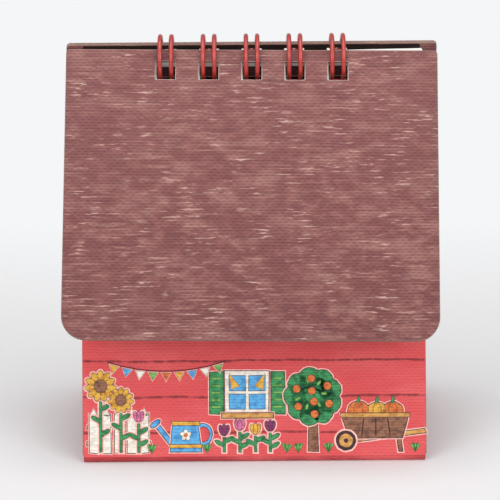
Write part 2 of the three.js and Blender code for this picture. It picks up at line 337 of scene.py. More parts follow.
def plank_line(tree, place):
    """1 on the drawn lines between planks, which waver, thin out and fade."""
    waver = add(tree, "TexNoise", add(tree, "Mapping", place, None, None, (0.1, 0.02, 1)), 1.0, 3.0)
    height = add(tree, "SeparateXYZ", place, out="Y")
    level = add(tree, "Math", height, 1 / PLANK, -PLANK_FIRST / PLANK - PLANK_WAVER / 2,
                operation="MULTIPLY_ADD")
    level = add(tree, "Math", waver, PLANK_WAVER, level, operation="MULTIPLY_ADD")
    gap = add(tree, "Math", add(tree, "Math", level, 0.5, operation="PINGPONG"), PLANK,
              operation="MULTIPLY")
    ink = add(tree, "TexNoise", add(tree, "Mapping", place, None, None, (0.45, 0.1, 1)), 1.0, 3.0, 0.7)
    width = add(tree, "MapRange", ink, 0.3, 0.7, 0.1, 0.3)
    line = add(tree, "MapRange", add(tree, "Math", gap, width, operation="SUBTRACT"), -0.08, 0.1, 0.8, 0.0)
    faded = add(tree, "MapRange", ink, 0.34, 0.52, 0.35, 1.0)
    return add(tree, "Math", line, faded, operation="MULTIPLY")


def red_paper(name, planks=True, source="UV", painted_shade_from=None, base=PLAIN_RED):
    """The house's print, with or without its planks and the dark run-out of painted shade under the roof."""
    material, tree = new_material(name)
    place = on_sheet(tree, source)
    tone = brushed(tree, place, base, RED_STROKES)
    if planks:
        tone = add(tree, "Mix", plank_line(tree, place), tone, PLANK_INK, data_type="RGBA")
    if painted_shade_from:
        # Painted shade under the roof.
        up = add(tree, "SeparateXYZ", place, out="Y")
        shaded = add(tree, "MapRange", up, painted_shade_from, painted_shade_from + ROOF_SHADE, 0.0, 1.0)
        tone = add(tree, "Mix", shaded, tone, ROOF_SHADE_RED, data_type="RGBA")
    embossed_print(tree, tone, linen(tree, place), RED_PIT_SHADE, 0.27)
    return material


def ink_paper(name, tone, shade):
    """The drawing's inks on the same embossed sheet: rubbed on, so the shade shows through in grains."""
    material, tree = new_material(name)
    place = on_sheet(tree)
    tone = brushed(tree, place, tone, ((0.7, 0.9, 0.42, 0.66, 0.85, shade, 0),))
    # The pits are darkened towards the ink's darker tone as painted shade.
    embossed_print(tree, tone, linen(tree, place), shade, 0.5)
    return material


def plain_paper(name, tone, shade, roughness=0.85):
    """Uncoated paper or board: cloudy formation and faint fibres, no gloss."""
    material, tree = new_material(name)
    place = on_sheet(tree, "Object")
    fibres = add(tree, "TexNoise", place, 3.2, 4.0, 0.7)
    tone = brushed(tree, place, tone, ((0.18, 0.18, 0.35, 0.70, 0.6, shade, 0),
                                       (3.2, 3.2, 0.45, 0.75, 0.3, shade, 0)))
    normal = add(tree, "Bump", Strength=0.25, Distance=0.02 * MM, Height=fibres)
    shader = add(tree, "BsdfPrincipled", Base_Color=tone, Roughness=roughness, Normal=normal,
                 Specular_IOR_Level=0.25)
    add(tree, "OutputMaterial", shader)
    return material


NYLON_RED = "B42E25"
SCUFFED_RED = "951E1A"


def coated_wire(name):
    """Steel wire in an extruded nylon skin, rubbed here and there."""
    material, tree = new_material(name)
    place = on_sheet(tree, "Object")
    scuff = add(tree, "TexNoise", place, 0.9, 3.0)
    tone = add(tree, "Mix", add(tree, "MapRange", scuff, 0.4, 0.75), NYLON_RED, SCUFFED_RED,
               data_type="RGBA")
    rough = add(tree, "MapRange", scuff, 0.4, 0.8, 0.2, 0.34)
    normal = add(tree, "Bump", Strength=0.1, Distance=0.02 * MM, Height=scuff)
    shader = add(tree, "BsdfPrincipled", Base_Color=tone, Roughness=rough, Normal=normal,
                 Coat_Weight=0.4, Coat_Roughness=0.12)
    add(tree, "OutputMaterial", shader)
    return material


# Offset print on linen-embossed paper, matt varnished: a dull brushed brown, with painted shade in its pits
# and painted light that makes it paler towards the ridge and darker towards the eaves.
BROWN = brown_paper("brown printed linen paper")
# The same print rubbed at the boards' edges: a paler, greyer brown line round the roof.
BROWN_EDGE = brown_paper("brown printed linen paper, rubbed", 0.55)
# The same paper printed red: a warm flat red with fine rows of pits in painted shade and thin dark plank
# lines. Near the top it runs out to a dark red of painted shade, where the cover shades it.
RED = red_paper("red printed linen paper", painted_shade_from=ROOF_SHADE_FROM)
# The red print on the turned-over edges and on the base: no planks, so the red reads as one flat tone.
RED_PLAIN = red_paper("red linen paper, plain", planks=False)
# The red print on the fold under each foot, darkened as painted shade where it turns under: a deeper red
# line along the floor.
RED_FOOT_SHADE = red_paper("red linen paper at the foot, darkened as painted shade", planks=False, base=FOOT_SHADE_RED)
# The red paper of the crease, pitted like the rest: the same flat red, seldom seen.
RED_CREASE = red_paper("red linen paper of the crease", planks=False, source="Object")
# Wrapping paper cut through: a thin off-white line round every punched hole.
CUT_PAPER = plain_paper("cut edge of wrapping paper", "E9DDD4", "CFC0B6")
# Recycled board, cut bare: its grey darkened by painted shade to a dark brown-grey, cloudy and quite matt,
# inside the holes.
SHADED_GREYBOARD = plain_paper("bare greyboard, darkened as painted shade", "6E5D52", "50433B", 0.95)
# Uncoated lining paper, painted nearly black as the shade in the gap over the cover, with no gloss.
SHADE_PAINTED_LINER = plain_paper("liner paper painted dark brown as shade", "2A1D1A", "1C1312", 0.9)
# Uncoated lining paper: warm cream inside the easel, a shade darker than the leaves.
LINER_PAPER = plain_paper("cream liner paper", "E9E4DA", "DED7CB")
# Uncoated card: clean warm white leaves with faint fibres.
LEAF_PAPER = plain_paper("white calendar card", "F4F2ED", "EAE7E0")
# Nylon-coated steel wire: saturated red with soft pale highlights and light scuffs.
WIRE = coated_wire("red nylon-coated wire")
# Coloured pencil printed by offset, as a full tone and the shade rubbed through it: grainy, soft colour.
INKS = {
    "halo": ("F6CDC2", "EFA49C"), "outline": ("4A2A2E", "2C1A20"), "green": ("3F9A5C", "23603C"),
    "lime": ("86BE5E", "4E8A40"), "brown": ("96684E", "5C3A30"), "straw": ("D9A55C", "A8713A"),
    "yellow": ("E6B64C", "BE7F30"), "orange": ("DC7C3C", "AE4E28"), "pink": ("D87BA0", "A33F70"),
    "plum": ("8C3A68", "5A2246"), "blue": ("62B4E4", "3A7CBC"), "cream": ("F3EFE4", "CFC4B4"),
    "wall": ("DC5456", "C8444A"),
}
INK_PAPERS = [ink_paper(name + " pencil print", *tones) for name, tones in INKS.items()]


# Mesh tools.

def finish_piece(bm, name, materials, body, place=None, smooth=None):
    """Makes a piece of a bmesh drawn in millimetres, and puts it where place says."""
    if place is not None:
        bm.transform(place)
    bm.transform(Matrix.Scale(MM, 4))
    mesh = bpy.data.meshes.new(name)
    bm.to_mesh(mesh)
    bm.free()
    for material in materials:
        mesh.materials.append(material)
    piece = bpy.data.objects.new(name, mesh)
    bpy.context.scene.collection.objects.link(piece)
    if smooth:
        for polygon in mesh.polygons:
            polygon.use_smooth = True
        mesh.set_sharp_from_angle(angle=math.radians(smooth))
    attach(piece, body)
    return piece


def fresh(drawn, kind):
    """What an operator has just drawn, of one kind."""
    return [g for g in drawn["geom"] if isinstance(g, kind)]


def lay_out(bm, foot=0):
    """The UV map is the sheet itself, in metres: x along it, and y up it from its lower edge."""
    layer = bm.loops.layers.uv.new("sheet")
    for face in bm.faces:
        for loop in face.loops:
            x, y, z = loop.vert.co
            loop[layer].uv = ((x + 0.37 * z) * MM, (y - foot + 0.61 * z) * MM)


def slope_place(centre, lean, skew=0, back=False):
    """Axes of a leaning sheet: x along it, y up its slope and z out of its printed side."""
    turn = Matrix.Rotation(math.pi if back else 0, 4, "Z")
    tilt = Matrix.Rotation(math.radians(90 - lean), 4, "X")
    askew = Matrix.Rotation(math.radians(skew), 4, "Z")
    return Matrix.Translation(centre) @ turn @ tilt @ askew


def board_place(name):
    """Where a board lies: at the middle of its core in the frame."""
    board = BOARDS[name]
    return slope_place(middle(name + "_core"), board["lean"], board.get("skew", 0), board.get("back"))


def slope_length(name):
    """The board's length up its slope, from the frame where it isn't set."""
    board = BOARDS[name]
    if "length" in board:
        return board["length"]
    low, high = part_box(name + "_wrap")
    lean = math.radians(abs(board["lean"]))
    rise = (high.z - low.z) / MM - 2 * EDGE_ROUNDING
    flat = (rise - 2 * (HALF_BOARD - EDGE_ROUNDING) * math.sin(lean)) / math.cos(lean)
    return flat + 2 * EDGE_ROUNDING


def blank(width, length, top, bottom):
    """A flat sheet with rounded corners, its middle at the origin."""
    bm = bmesh.new()
    bmesh.ops.create_grid(bm, x_segments=1, y_segments=1, size=0.5)
    bmesh.ops.scale(bm, vec=(width, length, 1), verts=bm.verts)
    for upper, radius in ((True, top), (False, bottom)):
        corners = [v for v in bm.verts if (v.co.y > 0) == upper and abs(abs(v.co.x) - width / 2) < 1e-6
                   and abs(abs(v.co.y) - length / 2) < 1e-6]
        bmesh.ops.bevel(bm, geom=corners, offset=radius, offset_type="OFFSET", segments=CORNER_STEPS,
                        profile=0.5, affect="VERTICES", material=-1)
    return bm


def punch_row(bm, top, height):
    """Cuts the row of square holes, whose tops lie at y = top."""
    cuts = [((0, y, 0), (0, 1, 0)) for y in (top, top - height)]
    cuts += [((centre + side * HOLE_WIDTH / 2, 0, 0), (1, 0, 0)) for centre in HOLE_CENTRES
             for side in (-1, 1)]
    for point, normal in cuts:
        bmesh.ops.bisect_plane(bm, geom=bm.verts[:] + bm.edges[:] + bm.faces[:], plane_co=point,
                               plane_no=normal)
    waste = [f for f in bm.faces if top - height < f.calc_center_median().y < top
             and min(abs(f.calc_center_median().x - c) for c in HOLE_CENTRES) < HOLE_WIDTH / 2]
    bmesh.ops.delete(bm, geom=waste, context="FACES")


def thicken(bm, faces, depths):
    """Draws a flat sheet up through the depths in turn, which closes it."""
    for i, depth in enumerate(depths):
        drawn = bmesh.ops.extrude_face_region(bm, geom=faces)
        bmesh.ops.translate(bm, vec=(0, 0, depth), verts=fresh(drawn, bmesh.types.BMVert))
        inner = [f for f in faces if i and f.is_valid]
        bmesh.ops.delete(bm, geom=inner, context="FACES")
        faces = fresh(drawn, bmesh.types.BMFace)


def wrapped_board(name):
    """A board in its printed wrap, which stops at each punched hole and shows the board's own grey."""
    board = BOARDS[name]
    width, length = board["width"], slope_length(name)

    def by_hole(at):
        down = length / 2 - at.y
        return abs(at.x) < width / 2 - HOLE_ROW_SIDE and HOLE_ROW_START < down < HOLE_ROW_END

    bm = blank(width, length, board["top"], board["bottom"])
    if "margin" in board:
        punch_row(bm, length / 2 - board["margin"], board["hole"])
    bmesh.ops.translate(bm, vec=(0, 0, -HALF_BOARD), verts=bm.verts)
    thicken(bm, bm.faces[:], (WRAP, 2 * (HALF_BOARD - WRAP), WRAP))
    bmesh.ops.recalc_face_normals(bm, faces=bm.faces)
    rim = [e for e in bm.edges if e.calc_face_angle(0) > SHARP_TURN
           and not by_hole((e.verts[0].co + e.verts[1].co) / 2)]
    bmesh.ops.bevel(bm, geom=rim, offset=EDGE_ROUNDING, offset_type="OFFSET", segments=EDGE_STEPS,
                    profile=0.5, affect="EDGES", material=-1)
    punched = [e for e in bm.edges if e.calc_face_angle(0) > SHARP_TURN and e.verts[0].co.z > 0
               and by_hole((e.verts[0].co + e.verts[1].co) / 2)]
    bmesh.ops.bevel(bm, geom=punched, offset=PUNCH_BURR, offset_type="OFFSET", segments=1,
                    profile=0.5, affect="EDGES", material=-1)
    lining = board.get("lining", 0)
    lining_top = length / 2 - LINING_INSET
    if lining:
        for point, normal in (((lining, 0, 0), (1, 0, 0)), ((-lining, 0, 0), (1, 0, 0)),
                              ((0, lining_top, 0), (0, 1, 0))):
            bmesh.ops.bisect_plane(bm, geom=bm.verts[:] + bm.edges[:] + bm.faces[:], plane_co=point,
                                   plane_no=normal)
    lay_out(bm, -length / 2)
    for face in bm.faces:
        at = face.calc_center_median()
        face.material_index = PRINT
        if abs(face.normal.z) < SHEET_SIDE:
            face.material_index = EDGE
            if by_hole(at):
                face.material_index = BARE if abs(at.z) < HALF_BOARD - WRAP else CUT
            elif name == "front_leg" and at.y > length / 2 - BARE_RIM:
                face.material_index = BARE
        # The lining is painted dark brown as the shade in the gap over the cover.
        elif face.normal.z < 0 and abs(at.x) < lining and at.y < lining_top:
            face.material_index = LINING
    if board["slot"] == "brown_print_paper":
        papers = (BROWN, BROWN_EDGE)
    else:
        papers = (RED if "leg" in name else RED_PLAIN, RED_PLAIN)
    piece = finish_piece(bm, name + "_board", papers + (SHADED_GREYBOARD, CUT_PAPER, SHADE_PAINTED_LINER), board["body"],
                         board_place(name))
    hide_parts(name + "_core", name + "_wrap")


for name in BOARDS:
    wrapped_board(name)


def foot_fold(name, body, lean, raise_angle, facing):
    """The paper fold under a foot, round from the leg's face to the base, and flat where it stands."""
    start = 180 - lean + FOOT_START
    end = 270 + raise_angle + FOOT_RUNOUT
    half = BOARDS["front_leg"]["width"] / 2 - FOOT_INSET
    bm = bmesh.new()
    angle = math.radians(start)
    ends = [bm.verts.new((x, FOOT_RADIUS * math.cos(angle), FOOT_RADIUS * math.sin(angle)))
            for x in (-half, half)]
    geom = [bm.edges.new(ends)]
    turns = ((270 - FOOT_FLAT - start, FOOT_STEPS), (2 * FOOT_FLAT, 1), (end - 270 - FOOT_FLAT, FOOT_STEPS))
    for turn, steps in turns:
        spun = bmesh.ops.spin(bm, geom=geom, axis=(1, 0, 0), cent=(0, 0, 0), angle=math.radians(turn),
                              steps=steps)
        geom = [g for g in spun["geom_last"] if isinstance(g, bmesh.types.BMEdge)]
    bmesh.ops.remove_doubles(bm, verts=bm.verts, dist=WELD)
    bmesh.ops.recalc_face_normals(bm, faces=bm.faces)
    layer = bm.loops.layers.uv.new("sheet")
    for face in bm.faces:
        for loop in face.loops:
            x, y, z = loop.vert.co
            loop[layer].uv = (x * MM, math.atan2(y, -z) * FOOT_RADIUS * MM)
    first = bm.faces[:][0]
    inward = first.normal.dot(first.calc_center_median()) < 0
    bmesh.ops.solidify(bm, geom=bm.faces, thickness=-FOOT_PAPER if inward else FOOT_PAPER)
    bmesh.ops.recalc_face_normals(bm, faces=bm.faces)
    if facing < 0:
        bmesh.ops.rotate(bm, verts=bm.verts, cent=(0, 0, 0), matrix=Matrix.Rotation(math.pi, 3, "Z"))
    low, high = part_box(name + "_strip")
    drop = FOOT_RADIUS * math.cos(math.radians(FOOT_FLAT))
    reach = (low.y if facing > 0 else high.y) / MM
    reach += facing * FOOT_RADIUS * math.cos(math.radians(FOOT_REACH - lean))
    place = Matrix.Translation((RING_CENTRE.x, reach, low.z / MM + drop))
    # Its red is darkened as painted shade.
    piece = finish_piece(bm, name + "_fold", (RED_FOOT_SHADE,), body, place, smooth=30)
    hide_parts(name + "_strip")


foot_fold("front_foot", "stand", FRONT_LEAN, FRONT_RAISE, 1)
foot_fold("rear_foot", "rear_flap", REAR_LEAN, REAR_RAISE, -1)


def crease_half(name, body, raise_angle, side):
    """One side of the paper crease in the base's middle, from the fold down along its own half."""
    low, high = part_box("crease_strip")
    turn = math.radians(raise_angle)
    mean = math.radians((FRONT_RAISE + REAR_RAISE) / 2)
    section = []
    for depth in (CREASE_CLEAR, CREASE_CLEAR + CREASE_PAPER):
        section.append((CREASE_Y + side * (CREASE_REACH * math.cos(turn) - depth * math.sin(turn)),
                        CREASE_Z - CREASE_REACH * math.sin(turn) - depth * math.cos(turn)))
    for depth in (CREASE_CLEAR + CREASE_PAPER, CREASE_CLEAR):
        section.append((CREASE_Y + side * CREASE_SPLIT, CREASE_Z - depth / math.cos(mean)))
    bm = bmesh.new()
    face = bm.faces.new([bm.verts.new((low.x / MM, y, z)) for y, z in section])
    drawn = bmesh.ops.extrude_face_region(bm, geom=[face])
    bmesh.ops.translate(bm, vec=((high.x - low.x) / MM, 0, 0), verts=fresh(drawn, bmesh.types.BMVert))
    bmesh.ops.recalc_face_normals(bm, faces=bm.faces)
    piece = finish_piece(bm, name, (RED_CREASE,), body, smooth=30)
    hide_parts("crease_strip")


crease_half("front_crease", "base_front_half", FRONT_RAISE, -1)
crease_half("rear_crease", "base_rear_half", REAR_RAISE, 1)


# Wire: one length bent into five twin loops, closed behind the rear panel.

def wire_route():
    """The bent wire's centre line, unrolled as (x, distance round the ring)."""
    bridge = RING_RADIUS * math.radians(BRIDGE_ANGLE)
    tip = RING_RADIUS * math.radians(TIP_ANGLE)
    half = TWIN_SPACING / 2
    route = []

    def arc(x, y, radius, start, end, steps):
        for i in range(steps + 1):
            angle = math.radians(start + (end - start) * i / steps)
            route.append((x + radius * math.cos(angle), y + radius * math.sin(angle)))

    def run(x, start, end, steps):
        for i in range(1, steps):
            route.append((x, start + (end - start) * i / steps))

    route.append((HOLE_CENTRES[0] - half - BRIDGE_BEND - WIRE_END, bridge))
    for centre in HOLE_CENTRES:
        arc(centre - half - BRIDGE_BEND, bridge - BRIDGE_BEND, BRIDGE_BEND, 90, 0, BEND_STEPS)
        run(centre - half, bridge - BRIDGE_BEND, tip + half, RUN_STEPS)
        arc(centre, tip + half, half, 180, 360, TIP_STEPS)
        run(centre + half, tip + half, bridge - BRIDGE_BEND, RUN_STEPS)
        arc(centre + half + BRIDGE_BEND, bridge - BRIDGE_BEND, BRIDGE_BEND, 180, 90, BEND_STEPS)
    route.append((HOLE_CENTRES[-1] + half + BRIDGE_BEND + WIRE_END, bridge))
    return route


def curve_mesh(curve):
    """The closed mesh of a curve, in the curve's own units."""
    holder = bpy.data.objects.new("holder", curve)
    bpy.context.scene.collection.objects.link(holder)
    mesh = bpy.data.meshes.new_from_object(holder.evaluated_get(bpy.context.evaluated_depsgraph_get()))
    bpy.data.objects.remove(holder)
    return mesh


def wire_binding():
    """The coated wire, round the ring at every point of its route."""
    curve = bpy.data.curves.new("wire_route", "CURVE")
    curve.dimensions = "3D"
    curve.bevel_depth = WIRE_RADIUS
    curve.bevel_resolution = WIRE_ROUNDING
    curve.use_fill_caps = True
    route = wire_route()
    spline = curve.splines.new("POLY")
    spline.points.add(len(route) - 1)
    for point, (x, around) in zip(spline.points, route):
        angle = around / RING_RADIUS
        spot = RING_CENTRE + Vector((x, RING_RADIUS * math.cos(angle), RING_RADIUS * math.sin(angle)))
        point.co = (*spot, 1)
    bm = bmesh.new()
    bm.from_mesh(curve_mesh(curve))
    bmesh.ops.remove_doubles(bm, verts=bm.verts, dist=WELD)
    bmesh.ops.recalc_face_normals(bm, faces=bm.faces)
    piece = finish_piece(bm, "twin_loop_wire", (WIRE,), "stand", smooth=50)
    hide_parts("wire_binding")


wire_binding()


# Print: a garden in coloured pencil on the front leg, in thin plates of ink with steps between them, so
# that no two lie in one plane. Places are x from the middle and height above the sheet's lower edge. Each
# plate starts INK_SINK under the paper's face and ends INK_LIFT or more over it.
INK_SINK = 0.03
INK_LIFT = 0.012
INK_STEP = 0.003
# How far a drawn outline shakes at each corner, as a share of its size.
SHAKE = 0.035


def printed(bm, sides, x, height, wide, tall, tone, level=1, turn=0, taper=1, line=0.16, halo=0.0):
    """One printed shape: a pale halo, a dark line and its fill. A halo or line of no width isn't drawn.

    Four sides make a rectangle of this size. Any other number sets its corners on an oval of this size.
    """
    shake = [1 + random.uniform(-SHAKE, SHAKE) for _ in range(sides)]
    sheets = [(halo, "halo"), (line, "outline"), (0, tone)]
    square = sides == 4
    start = Matrix.Rotation(math.radians(45 if square else 0), 4, "Z")
    place = Matrix.Translation((x, height, -INK_SINK)) @ Matrix.Rotation(math.radians(turn), 4, "Z")
    for sheet, (grow, finish) in enumerate(sheets):
        if sheet < 2 and not grow:
            continue
        verts = bmesh.ops.create_circle(bm, cap_ends=True, segments=sides, matrix=start,
                                        radius=math.sqrt(0.5) if square else 0.5)["verts"]
        for vert, share in zip(verts, shake):
            vert.co.x *= (wide + 2 * grow) * share
            vert.co.y *= (tall + 2 * grow) * share
            if vert.co.y > 0:
                vert.co.x *= taper
        bmesh.ops.transform(bm, matrix=place, verts=verts)
        face = verts[0].link_faces[0]
        face.material_index = list(INKS).index(finish)
        drawn = bmesh.ops.extrude_face_region(bm, geom=[face])
        rise = INK_SINK + INK_LIFT + INK_STEP * (len(sheets) * level + sheet)
        bmesh.ops.translate(bm, vec=(0, 0, rise), verts=fresh(drawn, bmesh.types.BMVert))


def around(x, height, reach, count, start=90):
    """Places round a centre, with the angle of each in degrees."""
    for i in range(count):
        angle = start + 360 * i / count
        radians = math.radians(angle)
        yield x + reach * math.cos(radians), height + reach * math.sin(radians), angle


def leafy_stem(bm, x, height, tall, level):
    """A green stem with leaves on both sides, where it is tall enough for them."""
    printed(bm, 4, x, height + tall / 2, 0.45, tall, "green", level, halo=0.4, line=0.1)
    for share, side in ((0.3, 1), (0.5, -1), (0.68, 1)):
        if share * tall > 1.2:
            printed(bm, 18, x + side * 1.0, height + share * tall, 1.9, 0.8, "green", level,
                    turn=side * 32, halo=0.35, line=0.1)


def sunflower(bm, x, height, tall, size=2.2, level=2):
    """A leafy stem under a brown disc in a ring of yellow petals."""
    leafy_stem(bm, x, height, tall, level)
    top = height + tall
    for px, py, angle in around(x, top, size * 0.68, 11):
        printed(bm, 14, px, py, size * 0.95, size * 0.46, "yellow", level + 1, angle, halo=0.35, line=0.1)
    printed(bm, 18, x, top, size * 0.95, size * 0.95, "brown", level + 2, line=0.1)


def tulip(bm, x, height, tall, tone, level=2):
    """A leafy stem under a cup of three petals."""
    leafy_stem(bm, x, height, tall, level)
    for side in (-1, 1):
        printed(bm, 16, x + side * 0.5, height + tall + 0.7, 0.95, 2.1, tone, level + 1, -side * 16,
                halo=0.35, line=0.1)
    printed(bm, 16, x, height + tall + 0.75, 0.8, 2.2, tone, level + 2, line=0.1)


def grass(bm, x, height, blades=5, tall=1.8, level=3):
    """A small fan of blades."""
    for i in range(blades):
        lean = 30 - 60 * i / (blades - 1)
        printed(bm, 10, x - math.sin(math.radians(lean)) * tall / 2, height + tall * 0.42, 0.34,
                tall * random.uniform(0.8, 1.15), "green" if i % 2 else "lime", level, lean, line=0.07)


def picket_fence(bm, x, height, count, pitch=2.5, tall=7.6):
    """Pointed pale boards over two rails."""
    wide = count * pitch
    for rail in (0.24, 0.68):
        printed(bm, 4, x + (wide - pitch) / 2, height + tall * rail, wide, 0.7, "straw", 0, halo=0.3)
    for i in range(count):
        px = x + i * pitch
        printed(bm, 3, px, height + tall + 0.1, 1.9, 1.9, "cream", 1, halo=0.3)
        printed(bm, 4, px, height + tall / 2, 1.65, tall, "cream", 1, halo=0.3)


def watering_can(bm, x, height):
    """A blue can with its spout to the left, its handle to the right and a flower on its side."""
    spout = x - 5.0
    printed(bm, 4, spout + 0.7, height + 3.4, 0.8, 5.2, "blue", 1, 38, halo=0.35)
    printed(bm, 18, spout - 1.0, height + 5.5, 0.9, 2.2, "blue", 2, -52, halo=0.35)
    handle = x + 3.4
    printed(bm, 24, handle, height + 3.3, 3.6, 4.2, "blue", 0, halo=0.35)
    printed(bm, 24, handle + 0.1, height + 3.3, 2.3, 2.9, "wall", 1, line=0.12)
    printed(bm, 4, x, height + 2.7, 6.0, 5.4, "blue", 2, taper=0.82, halo=0.35)
    for band, wide, tall in ((5.5, 5.4, 0.7), (1.0, 6.1, 0.6)):
        printed(bm, 4, x, height + band, wide, tall, "yellow", 3, line=0.12)
    for px, py, angle in around(x, height + 3.2, 0.65, 5):
        printed(bm, 12, px, py, 0.95, 0.8, "cream", 3, angle, line=0.08)
    printed(bm, 12, x, height + 3.2, 0.7, 0.7, "orange", 4, line=0.08)


def window(bm, x, height):
    """A window of four panes, with slatted shutters, tied curtains and a sill."""
    for side in (-1, 1):
        printed(bm, 4, x + side * 6.1, height + 4.3, 2.6, 8.2, "green", 1, halo=0.35)
        for i in range(5):
            printed(bm, 4, x + side * 6.1, height + 1.5 + 1.4 * i, 1.7, 0.35, "lime", 2, line=0.06)
    printed(bm, 4, x, height + 4.3, 8.6, 8.4, "cream", 1, halo=0.35)
    for px in (-1.95, 1.95):
        for py in (2.5, 6.2):
            printed(bm, 4, x + px, height + py, 3.1, 2.9, "blue", 2, line=0.12)
    for side in (-1, 1):
        printed(bm, 3, x + side * 2.7, height + 6.2, 2.0, 4.0, "yellow", 3, -side * 24, line=0.1)
    printed(bm, 4, x, height - 0.2, 10.0, 0.9, "straw", 3, halo=0.3)


def fruit_tree(bm, x, height, trunk=7.2, crown=4.2):
    """A round tree with fruit, its crown made of a ring of leafy lobes."""
    printed(bm, 4, x, height + trunk / 2, 2.0, trunk, "brown", 1, taper=0.75, halo=0.35)
    top = height + trunk + crown * 0.55
    for px, py, angle in around(x, top, crown * 0.72, 9, 20):
        printed(bm, 20, px, py, crown * 0.9, crown * 0.84, "green", 2, angle, halo=0.4)
    printed(bm, 24, x, top, crown * 1.7, crown * 1.6, "green", 2, line=0)
    for px, py, angle in around(x, top, crown * 0.55, 7, 50):
        printed(bm, 12, px - 0.5, py + 0.6, 1.2, 0.5, "lime", 3, angle, line=0)
    for px, py, angle in around(x, top, crown * 0.72, 6, 35):
        printed(bm, 16, px, py, 1.5, 1.5, "orange", 4, line=0.1)
    for px, py, angle in around(x, top, crown * 0.22, 2, 100):
        printed(bm, 16, px, py, 1.5, 1.5, "orange", 4, line=0.1)


def wheelbarrow(bm, x, height):
    """A wheelbarrow of pumpkins, its wheel to the left and its handles to the right."""
    printed(bm, 4, x + 4.6, height + 2.1, 0.7, 4.4, "brown", 0, 8, halo=0.35)
    printed(bm, 4, x + 1.2, height + 2.9, 17.0, 0.75, "straw", 1, 7, halo=0.35)
    for px, tone, size in ((-3.4, "orange", 4.2), (0.3, "yellow", 3.8), (3.4, "orange", 3.9)):
        printed(bm, 24, x + px, height + 8.0, size, size * 0.86, tone, 1, halo=0.35)
        printed(bm, 20, x + px, height + 8.0, size * 0.4, size * 0.84, tone, 2, line=0.1)
        printed(bm, 4, x + px, height + 10.0, 0.5, 1.3, "green", 2, -12, line=0.1)
    printed(bm, 4, x, height + 4.9, 10.5, 4.6, "brown", 3, taper=1.28, halo=0.35)
    printed(bm, 4, x, height + 7.1, 13.9, 0.8, "straw", 4, line=0.12)
    for px in (-2.6, 0, 2.6):
        printed(bm, 4, x + px, height + 4.7, 0.25, 3.6, "outline", 4, px * 3, line=0)
    printed(bm, 24, x - 5.9, height + 2.1, 4.0, 4.0, "outline", 4, line=0, halo=0.35)
    printed(bm, 20, x - 5.9, height + 2.1, 2.7, 2.7, "straw", 5, line=0)
    printed(bm, 12, x - 5.9, height + 2.1, 0.9, 0.9, "outline", 6, line=0)


def bunting(bm, x, height, count=9, pitch=2.6, sag=1.5):
    """Flags on a string that hangs in a shallow curve."""
    tones = ("yellow", "blue", "cream", "lime", "orange")
    for i in range(count):
        share = 2 * i / (count - 1) - 1
        low = height - sag * (1 - share ** 2)
        slope = math.degrees(math.atan(4 * sag * share / (count * pitch)))
        px = x + (i - (count - 1) / 2) * pitch
        printed(bm, 4, px, low, pitch + 0.1, 0.2, "outline", 1, slope, line=0)
        printed(bm, 3, px, low - 0.9, 2.0, 2.1, tones[i % len(tones)], 2, 180 + slope, halo=0.3, line=0.1)


def garden(bm):
    """The front's drawing, from left to right."""
    picket_fence(bm, -31.8, 1.0, 5)
    sunflower(bm, -30.4, 1.2, 13.0, 2.7, 3)
    sunflower(bm, -26.4, 1.2, 10.2, 2.2, 3)
    tulip(bm, -22.9, 1.0, 6.4, "pink", 3)
    watering_can(bm, -13.6, 1.2)
    window(bm, -1.4, 8.4)
    tulip(bm, -6.0, 1.0, 3.6, "plum")
    tulip(bm, -2.9, 1.0, 4.6, "pink")
    tulip(bm, 0.2, 1.0, 3.8, "yellow")
    tulip(bm, 3.1, 1.0, 4.4, "plum")
    fruit_tree(bm, 11.6, 1.0, 8.2, 4.9)
    wheelbarrow(bm, 24.0, 1.0)
    bunting(bm, -17.4, 18.6)
    for x in (-20.3, -9.4, 6.4, 8.6, 14.6, 31.8):
        grass(bm, x, 1.0)


def print_sheet(name, draw, place, face, length, body):
    """Draws on a sheet of this length whose printed face lies this far out of its middle."""
    bm = bmesh.new()
    draw(bm)
    bmesh.ops.remove_doubles(bm, verts=bm.verts, dist=PRINT_WELD)
    bmesh.ops.recalc_face_normals(bm, faces=bm.faces)
    lay_out(bm)
    bmesh.ops.translate(bm, vec=(0, -length / 2, face), verts=bm.verts)
    finish_piece(bm, name, INK_PAPERS, body, place)


print_sheet("front_print", garden, board_place("front_leg"), HALF_BOARD, slope_length("front_leg"),
            "stand")


# Leaves: cards with their holes near the top, a title leaf with a tree, and months of plain numbers
# under a brown band.
COLUMN = 8.67
COLUMN_FIRST = -26
ROW = 6
ROW_FIRST = 34.5
ROW_COUNT = 6
NUMBER_SIZE = 3.0
RULE_DROP = 1.3
RULE = (60, 0.12)
BAND_HEIGHT = 41.5
BAND = (60, 3.2)


def leaf_sheet(node, place):
    """A punched card with rounded corners, in place of the frame's leaf."""
    bm = blank(LEAF_WIDTH, LEAF_LENGTH, LEAF_TOP_RADIUS, LEAF_CORNER_RADIUS)
    punch_row(bm, LEAF_LENGTH / 2 - LEAF_MARGIN, LEAF_HOLE)
    bmesh.ops.translate(bm, vec=(0, 0, -LEAF_THICKNESS / 2), verts=bm.verts)
    thicken(bm, bm.faces[:], (LEAF_THICKNESS,))
    bmesh.ops.recalc_face_normals(bm, faces=bm.faces)
    lay_out(bm, -LEAF_LENGTH / 2)
    piece = finish_piece(bm, node + "_sheet", (LEAF_PAPER,), node + "_flap", place)
    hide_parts(node)


def number(bm, text, x, height, size, tone):
    """A number's raised ink, centred on x and standing on this height."""
    curve = bpy.data.curves.new("number", "FONT")
    curve.body = text
    curve.size = size
    curve.align_x = "CENTER"
    curve.resolution_u = 2
    curve.extrude = (INK_SINK + INK_LIFT) / 2
    mesh = curve_mesh(curve)
    mesh.transform(Matrix.Translation((x, height, (INK_LIFT - INK_SINK) / 2)))
    for polygon in mesh.polygons:
        polygon.material_index = list(INKS).index(tone)
    bm.from_mesh(mesh)


